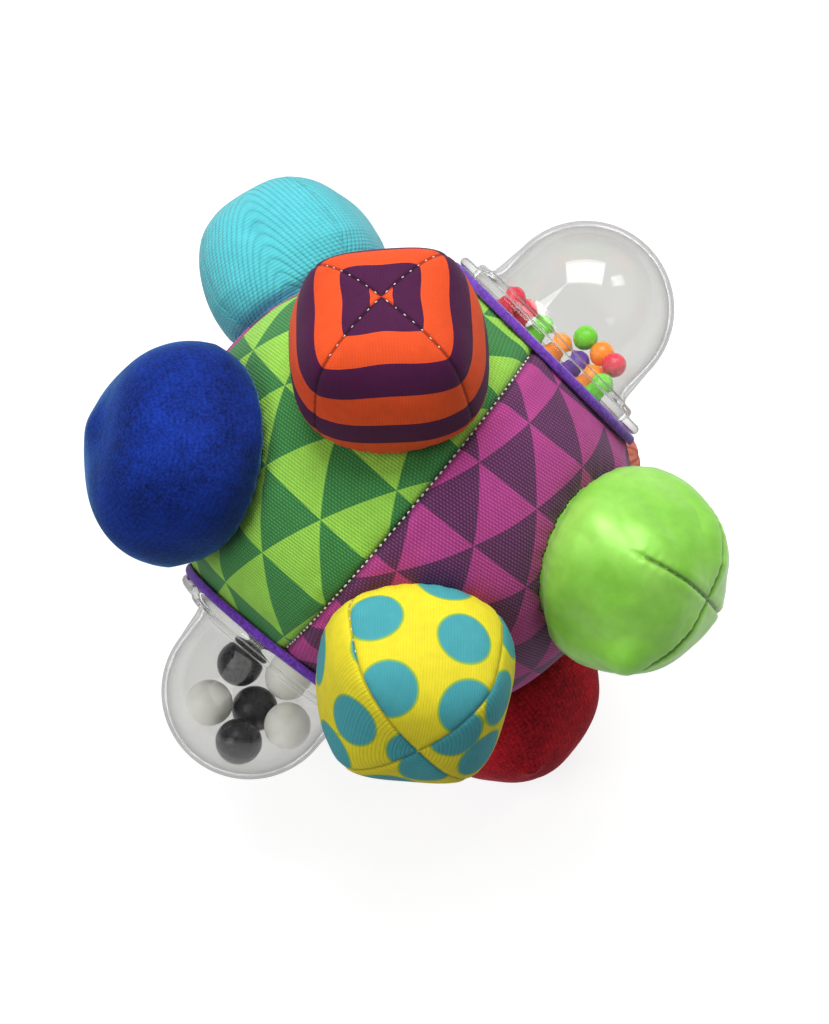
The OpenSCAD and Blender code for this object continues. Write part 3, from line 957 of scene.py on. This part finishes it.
def makePanel(name, panel, seed):
    first, last = panel["seams"]
    gap, reach, columns = panelShape["seamGap"], panelShape["reach"], panelShape["columns"]
    lon = np.linspace(first + gap, last - gap, columns)
    lat = np.linspace(-reach, reach, panelShape["rows"])
    lat, lon = np.meshgrid(lat, lon, indexing="ij")
    way = ballWay(lat, lon)
    holes = [(axisOf(bumps[b]), asin(ball["neckHole"] / ballR)) for b in panel["bumps"]]
    holes += [(axisOf(r), asin(ball["rattleHole"] / ballR)) for r in rattles.values()]
    middle = (way[:-1, :-1] + way[1:, 1:]) / 2
    keep = np.ones(middle.shape[:2], bool)
    for axis, wide in holes:
        keep &= (middle @ axis) / np.linalg.norm(middle, axis=-1) < cos(wide)
        # points of kept cells that fall inside a hole go out to its edge
        cosine = way @ axis
        inside = cosine > cos(wide)
        side = unit(way - cosine[..., None] * axis)
        edge = cos(wide) * axis + sin(wide) * side
        way = np.where(inside[..., None], edge, way)
    narrow = np.cos(np.radians(lat))
    toSeam = np.radians(np.minimum(lon - first, last - lon)) * narrow * ballR
    points = way * (ballR + canvasLift(way, toSeam, seed))[..., None]
    i, j = np.nonzero(keep)
    quads = quadFaces(columns, (i, j), (i, j + 1), (i + 1, j + 1), (i + 1, j))
    used, flat = np.unique(quads.ravel(), return_inverse=True)
    layX, layY, layTurn = panel["lay"]
    x = np.radians(lon - (first + last) / 2) * narrow * ballR - layX
    y = np.radians(lat) * ballR - layY
    piece = meshPiece(
        name + "_cloth",
        points.reshape(-1, 3)[used],
        flat.reshape(-1, 4).tolist(),
        panel["slot"],
        turnCloth(x, y, layTurn).reshape(-1, 2)[quads.ravel()],
        {"seam": toSeam.ravel()[used]},
    )
    wall = piece.modifiers.new("wall", "SOLIDIFY")
    wall.thickness = ball["cloth"] * mm
    wall.offset = -1
    settle(piece)
    install(piece, [name])


for number, (name, panel) in enumerate(panels.items()):
    makePanel(name, panel, 70 + number)


def makeBallStuffing(rows=60, columns=90):
    lat, lon = np.meshgrid(np.linspace(89, -89, rows), np.arange(columns) * 360 / columns, indexing="ij")
    way = ballWay(lat, lon)
    points = way * (ball["stuffing"] + 0.35 * softNoise(way * ballR, 11, 99))[..., None]
    poles = ballWay(np.array([90.0, -90.0]), np.zeros(2)) * ball["stuffing"]
    points = np.vstack([points.reshape(-1, 3), poles])
    for spec in rattles.values():
        axis = axisOf(spec)
        over = np.maximum(points @ axis - ball["stuffingFlat"], 0)
        points = points - over[:, None] * axis
    faces = stripFaces(rows, columns)
    piece = meshPiece("ball_filling", points, faces, "stuffing")
    install(piece, ["ball_stuffing"])


makeBallStuffing()
print("ball covered,", len(panels), "panels")


# Turns a closed outline of radius and height round a rattle's axis
def lathe(name, outline, turn, slotName, segments, wobble=0.0):
    r, z = np.array(outline, float).T[..., None]
    angle = fullTurn(segments)
    ripple = wobble * (np.sin(angle * 5 + z) + np.sin(angle * 13))
    points = ringPoints(r + ripple, angle, z)
    i, j = np.indices((len(outline), segments))
    k, n = (j + 1) % segments, (i + 1) % len(outline)
    quads = quadFaces(segments, (i, j), (i, k), (n, k), (n, j))
    return meshPiece(name, points.reshape(-1, 3) @ turn.T, quads.tolist(), slotName)


def makeDome(name, spec):
    rim, top, dome = rattle["rimAt"], rattle["domeAt"], rattle["dome"]
    inner = dome - rattle["wall"]
    half = rattle["lipHigh"] / 2
    arc = np.radians(np.linspace(-90, 90, 13))
    edge = [(rattle["lip"] - half + half * cos(a), rim + half + half * sin(a)) for a in arc]
    shelf = rim + rattle["lipHigh"]
    high = shelf + rattle["stepHigh"]
    step, foot = rattle["step"], rattle["foot"]
    bend = [(step + 0.9, shelf - 0.05), (step + 0.1, shelf + 0.1), (step, high - 0.5), (step - 0.5, high)]
    bend += [(step - 1.8, high), (foot + 0.1, high + 0.3), (foot - 0.2, high + 2.5)]
    arc = np.radians(np.linspace(0, 90, 30))[:-1]
    shell = [(dome * cos(a), top + dome * sin(a)) for a in arc] + [(1e-4, top + dome)]
    hollow = [(1e-4, top + inner)] + [(inner * cos(a), top + inner * sin(a)) for a in arc[::-1]]
    # the flange is a shell too, open below, so that the beads show through it
    flare = [(inner, high + 2.6), (inner + 0.3, high + 0.7), (inner + 2.2, high - 1.3)]
    flare += [(inner + 3.7, high - 1.6), (inner + 3.9, rim + 1.2), (inner + 3.9, rim)]
    outline = edge + roundCorners(bend, 2).tolist() + shell + hollow + roundCorners(flare, 2).tolist()
    turn = placeTurn(spec)
    piece = lathe(name + "_dome", outline, turn, "clear_plastic", rattle["segments"])
    weld = piece.modifiers.new("weld", "WELD")   # closes the poles
    weld.merge_threshold = 0.02 * mm
    settle(piece)
    install(piece, [name + "_rattle_dome"])


def makeCollar(name, spec):
    rim, inner, outer = rattle["rimAt"] - 0.05, collar["hole"], collar["radius"]
    reach = np.append(np.linspace(inner, outer - 0.5, 8), outer)
    under = np.stack([reach, np.sqrt(collar["underside"] ** 2 - reach * reach)], 1)
    under[-1, 1] += 0.45
    edge = [(outer + 0.05, rim - 0.9), (outer - 0.4, rim - 0.15), (outer - 1.0, rim)]
    outline = roundCorners(under.tolist() + edge, 1).tolist() + [(inner, rim)]
    turn = placeTurn(spec)
    piece = lathe(name + "_felt", outline, turn, "purple_felt", collar["segments"], collar["wobble"])
    install(piece, [name + "_collar"])


for name, spec in rattles.items():
    makeDome(name, spec)
    makeCollar(name, spec)
    for part in ("rattle_base", "clamp_ring"):
        node = frame["nodes"][name + "_" + part]
        node.data.materials.clear()
        node.data.materials.append(finish["white_plastic"])
print("rattles closed")

bead = {"size": 0.988, "ridge": 0.012, "gate": 0.105, "rings": 28, "segments": 44}


# A moulded bead with its parting line and the small flat left by the gate
def makeBead(node, body):
    low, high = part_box(node)
    centre = np.array([(a + b) / 2 for a, b in zip(low, high)]) / mm
    half = (high[2] - low[2]) / 2 / mm
    radius = half * bead["size"]
    arc = np.linspace(90, -90, bead["rings"] + 1)[1:-1]
    arc = np.sort(np.concatenate([arc, [2.2, 0.8, -0.8, -2.2]]))[::-1]
    r = radius * np.cos(np.radians(arc)) * (1 + bead["ridge"] * (np.abs(arc) < 1))
    z = np.minimum(radius * np.sin(np.radians(arc)), half - bead["gate"])
    grid = ringPoints(r[:, None], fullTurn(bead["segments"]), z[:, None])
    tips = np.array([[0, 0, z[0]], [0, 0, -radius]])
    rng = np.random.default_rng(len(node) + int(abs(centre[0]) * 100))
    turn = spinZ(rng.uniform(0, 360)) @ spinY(rng.uniform(0, 180)) @ spinZ(rng.uniform(0, 360))
    points = np.vstack([grid.reshape(-1, 3), tips]) @ turn.T + centre
    faces = stripFaces(*grid.shape[:2])
    colour = node.split("_")[0] + "_bead"
    piece = meshPiece(node + "_ball", points, faces, colour)
    install(piece, [node], body=body)


bodies = frame["record"]["behaviour"]["bodies"]
beads = [(node, spec["body"]) for spec in rattles.values() for node in bodies[spec["body"]]]
for node, body in beads:
    makeBead(node, body)
print("beads made,", len(beads))


# Stitches along a path: one short thread at each step, lying along it
def stitchTree():
    tree = bpy.data.node_groups.new("stitchRow", "GeometryNodeTree")
    addSockets(tree, "INPUT", "Geometry", "Path")
    addSockets(tree, "INPUT", "Float", "Length", "Gap", "Thread")
    addSockets(tree, "OUTPUT", "Geometry", "Stitches")
    given = tree.nodes.new("NodeGroupInput").outputs

    def first(kind, inputs, **settings):
        return addNode(tree, kind, inputs, **settings)[0]

    curve = first("GeometryNodeMeshToCurve", {"Mesh": given["Path"]})
    pace = calc("ADD", given["Length"], given["Gap"])
    spots = addNode(tree, "GeometryNodeCurveToPoints", {"Curve": curve, "Length": pace}, mode="LENGTH")
    along = first("FunctionNodeAlignRotationToVector", {"Vector": spots["Tangent"]}, axis="X")
    thread = first("GeometryNodeMeshUVSphere", {"Segments": 8, "Rings": 6, "Radius": 0.5})
    size = first("ShaderNodeCombineXYZ", {0: given["Length"], 1: given["Thread"], 2: given["Thread"]})
    limits = {"Min": (0.85, 0.9, 0.9), "Max": (1.1, 1.1, 1.1), "Seed": 4}
    vary = first("FunctionNodeRandomValue", limits, data_type="FLOAT_VECTOR")
    size = first("ShaderNodeVectorMath", {0: size, 1: vary}, operation="MULTIPLY")
    values = {"Points": spots["Points"], "Instance": thread, "Rotation": along, "Scale": size}
    rows = first("GeometryNodeRealizeInstances", {0: first("GeometryNodeInstanceOnPoints", values)})
    setInputs(tree.nodes.new("NodeGroupOutput"), Stitches=first("GeometryNodeSetShadeSmooth", {0: rows}))
    return tree


stitchRow = stitchTree()
stitching = {
    "ballSeam": {"Length": 0.9, "Gap": 0.6, "Thread": 0.45},
    "tipSeam": {"Length": 0.65, "Gap": 1.6, "Thread": 0.25},
    "neckSeam": {"Length": 0.7, "Gap": 0.6, "Thread": 0.25},
}


def sew(name, paths, kind, material):
    points, edges = [], []
    for path in paths:
        start = len(points)
        points += (np.asarray(path) * mm).tolist()
        edges += [(start + i, start + i + 1) for i in range(len(path) - 1)]
    mesh = bpy.data.meshes.new(name)
    mesh.from_pydata(points, edges, [])
    piece = addItem(name, mesh)
    row = piece.modifiers.new("stitches", "NODES")
    row.node_group = stitchRow
    for item in stitchRow.interface.items_tree:
        if item.name in stitching[kind]:
            row[item.identifier] = stitching[kind][item.name] * mm
    settle(piece)
    piece.data.materials.clear()   # the nodes leave an empty slot
    piece.data.materials.append(material)
    install(piece)


def bumpSeamPath(name, azimuth, start, stop, lift=0.05):
    bump = sewnBumps[name]
    column = seamTurns.index(azimuth) * bumpShape["columns"]
    rows = (bump["run"] >= start) & (bump["run"] <= stop)
    return bump["surface"][rows, column] + bump["normal"][rows, column] * lift


def ballSeamPath(lon, reach=54, count=120, lift=0.12):
    way = ballWay(np.linspace(-reach, reach, count), np.full(count, lon))
    keep = np.ones(count, bool)
    for bump in bumps.values():
        keep &= arcFrom(way, axisOf(bump)) > neckArc + 0.5
    for spec in rattles.values():
        keep &= arcFrom(way, axisOf(spec)) > collarArc + 2
    return (way * (ballR + canvasLift(way, np.zeros(count), 70) + lift)[:, None])[keep]


def neckPath(name, reach=16.7, count=121, lift=0.1):
    angle = np.radians(np.linspace(0, 360, count))
    ring = ringPoints(reach, angle, sqrt(ballR ** 2 - reach ** 2))
    ring = ring @ placeTurn(bumps[name]).T
    way = unit(ring)
    return way * (ballR + canvasLift(way, np.full(count, 9.0), 70) + lift)[:, None]


ballPaths = [ballSeamPath(panel["seams"][0]) for panel in panels.values()]
sew("ball_seam_stitches", ballPaths, "ballSeam", whiteThread)
satinPaths = [bumpSeamPath("satin", a, 0.8, 20) for a in seamTurns]
sew("satin_seam_stitches", satinPaths, "tipSeam", greenThread)
tipPaths = [bumpSeamPath("striped", a, 0.8, 15) for a in seamTurns] + [bumpSeamPath("dotted", 225, 24, 38)]
sew("bump_seam_stitches", tipPaths, "tipSeam", whiteThread)
sew("neck_stitches", [neckPath(name) for name in bumps], "neckSeam", darkThread)
print("seams stitched")

# White floor that keeps the shadow: seen directly or through the domes it also glows a little
floorShade = {"size": 6.0, "grey": 0.4, "glow": 0.8}


def whiteLook(shader, place):
    rays = addNode(place.id_data, "ShaderNodeLightPath", {})
    seen = calc("MAXIMUM", rays["Is Camera Ray"], rays["Is Glossy Ray"])
    seen = calc("MAXIMUM", seen, rays["Is Transmission Ray"])
    grey, glow = floorShade["grey"], calc("MULTIPLY", seen, floorShade["glow"])
    setInputs(shader, Base_Color=(grey, grey, grey, 1), Roughness=0.9, Specular_IOR_Level=0.0)
    setInputs(shader, Emission_Color=(1, 1, 1, 1), Emission_Strength=glow)


def makeFloor():
    side, z = floorShade["size"] / 2, ball["floor"] * mm
    mesh = bpy.data.meshes.new("floor")
    corners = [(-side, -side, z), (side, -side, z), (side, side, z), (-side, side, z)]
    mesh.from_pydata(corners, [], [(0, 1, 2, 3)])
    mesh.materials.append(newMaterial("floorWhite", whiteLook))
    floor = addItem("floor", mesh)


makeFloor()

# Sizes and distances of lamps and camera are in metres; a dull lamp leaves no highlight
lamps = {
    "keySoftbox": {"way": (0.34, 0.28, 0.89), "far": 0.9, "size": (0.7, 0.5), "watts": 7.4},
    "windowPane": {"way": (0.648, -0.268, 0.713), "far": 0.8, "size": (0.16, 0.2), "watts": 0.5},
    "fillSoftbox": {"way": (-0.62, 0.25, 0.74), "far": 1.0, "size": (0.5, 0.5), "watts": 3.0, "dull": True},
}
sky = 0.2


# Puts a lamp or the camera out along its own back
def aim(item, axes, far):
    item.matrix_world = Matrix.Translation((axes[:, 2] * far).tolist()) @ Matrix(axes.tolist()).to_4x4()


def makeLamp(name, spec):
    lamp = bpy.data.lights.new(name, "AREA")
    lamp.shape = "RECTANGLE"
    lamp.size, lamp.size_y = spec["size"]
    lamp.energy = spec["watts"]
    item = addItem(name, lamp)
    item.visible_glossy = not spec.get("dull")
    back = unit(np.array(spec["way"]))
    side = unit(np.cross([0, 0, 1], back))
    aim(item, np.stack([side, np.cross(back, side), back], 1), spec["far"])


for name, spec in lamps.items():
    makeLamp(name, spec)
world = bpy.data.worlds.new("studio")
world.use_nodes = True
setInputs(world.node_tree.nodes["Background"], Color=(1, 1, 1, 1), Strength=sky)
scene.world = world

camera = {
    "right": (0.6896, -0.723, -0.0414),
    "up": (0.6778, 0.6242, 0.3885),
    "back": (-0.2551, -0.296, 0.9205),
    "far": 0.6185,
    "lens": 97.77,
    "shift": (8.8 / 1024, -21 / 1024),
}


def makeCamera():
    lens = bpy.data.cameras.new("camera")
    lens.sensor_width = 36
    lens.lens = camera["lens"]
    lens.shift_x, lens.shift_y = camera["shift"]
    lens.clip_start, lens.clip_end = 0.01, 20
    # the nearest axes that stand square to each other
    u, _, v = np.linalg.svd(np.array([camera["right"], camera["up"], camera["back"]]))
    item = addItem("camera", lens)
    aim(item, (u @ v).T, camera["far"])
    scene.camera = item


makeCamera()
print("scene ready")
